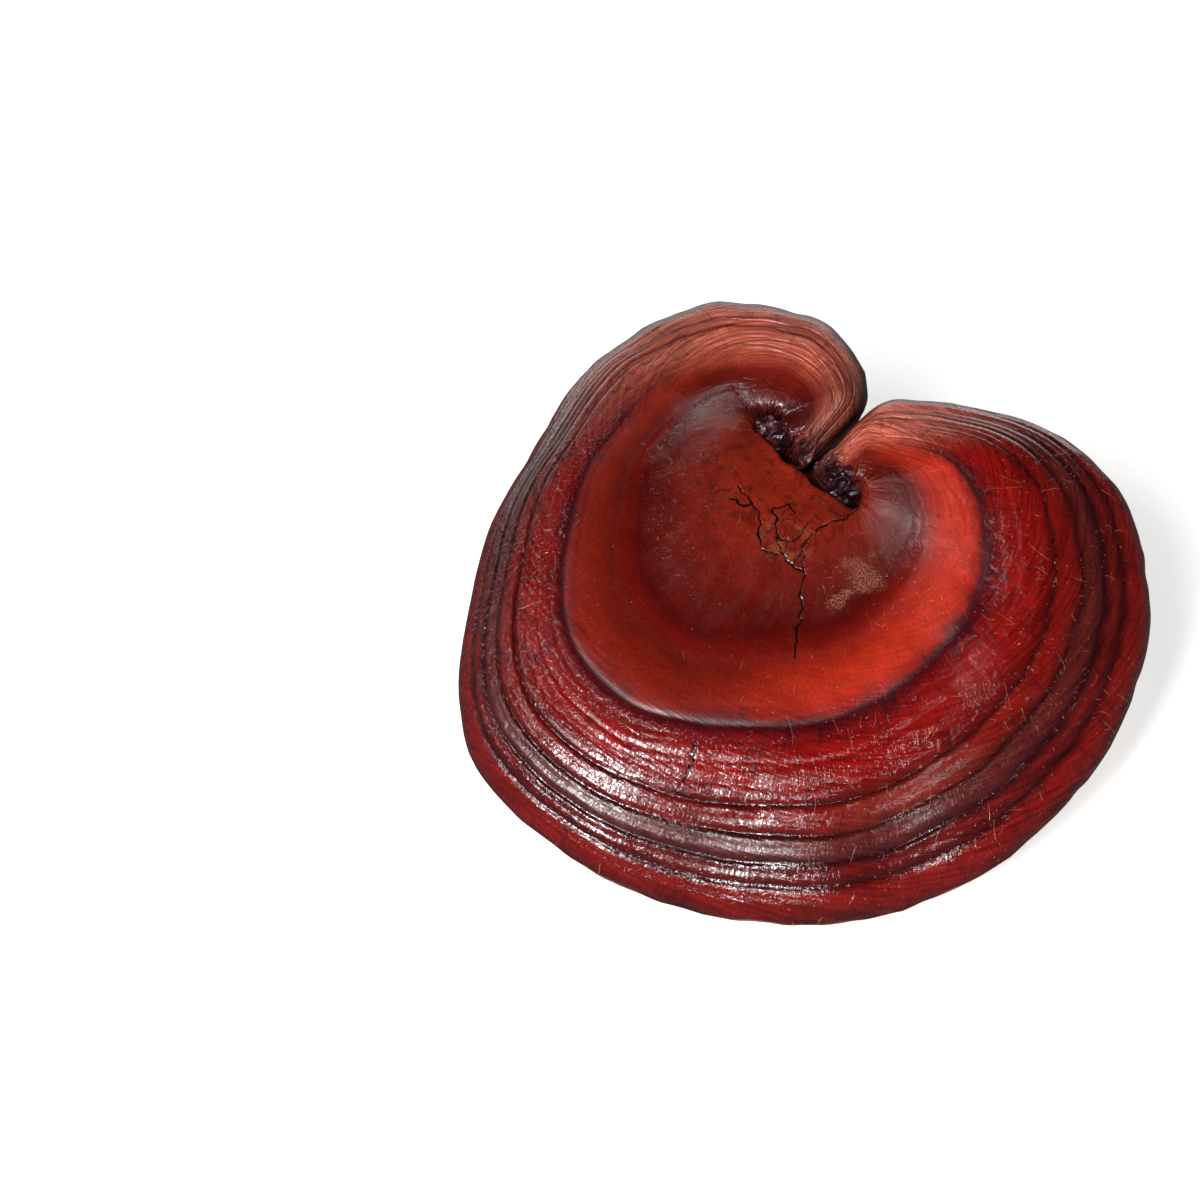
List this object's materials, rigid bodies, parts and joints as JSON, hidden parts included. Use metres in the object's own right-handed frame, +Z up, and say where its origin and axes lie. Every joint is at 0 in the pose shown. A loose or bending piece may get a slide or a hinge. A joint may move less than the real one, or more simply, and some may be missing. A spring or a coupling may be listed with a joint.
{
  "type": "reishi mushroom",
  "caption": "Kidney-shaped lacquered bracket mushroom: ringed cap curling round a sinus over a short cut stem, lying on its front rim and stem.",
  "frame": {"origin": "centre of the bounding box at the surface that the mushroom lies on", "axes": "+Z up from the surface, -Y towards the low front rim that the cap's face leans to, +X towards the larger back lobe"},
  "size_m": [0.1518, 0.137, 0.0813],
  "materials": {
    "cap_lacquer": "glossy red-brown natural lacquer with darker rings, satin where it is rubbed or dusty",
    "stem_lacquer": "dark red-brown satin crust, pale corky flesh on the cut foot"
  },
  "bodies": {
    "root": {"cap": "cap_lacquer", "stem": "stem_lacquer"}
  },
  "joints": []
}
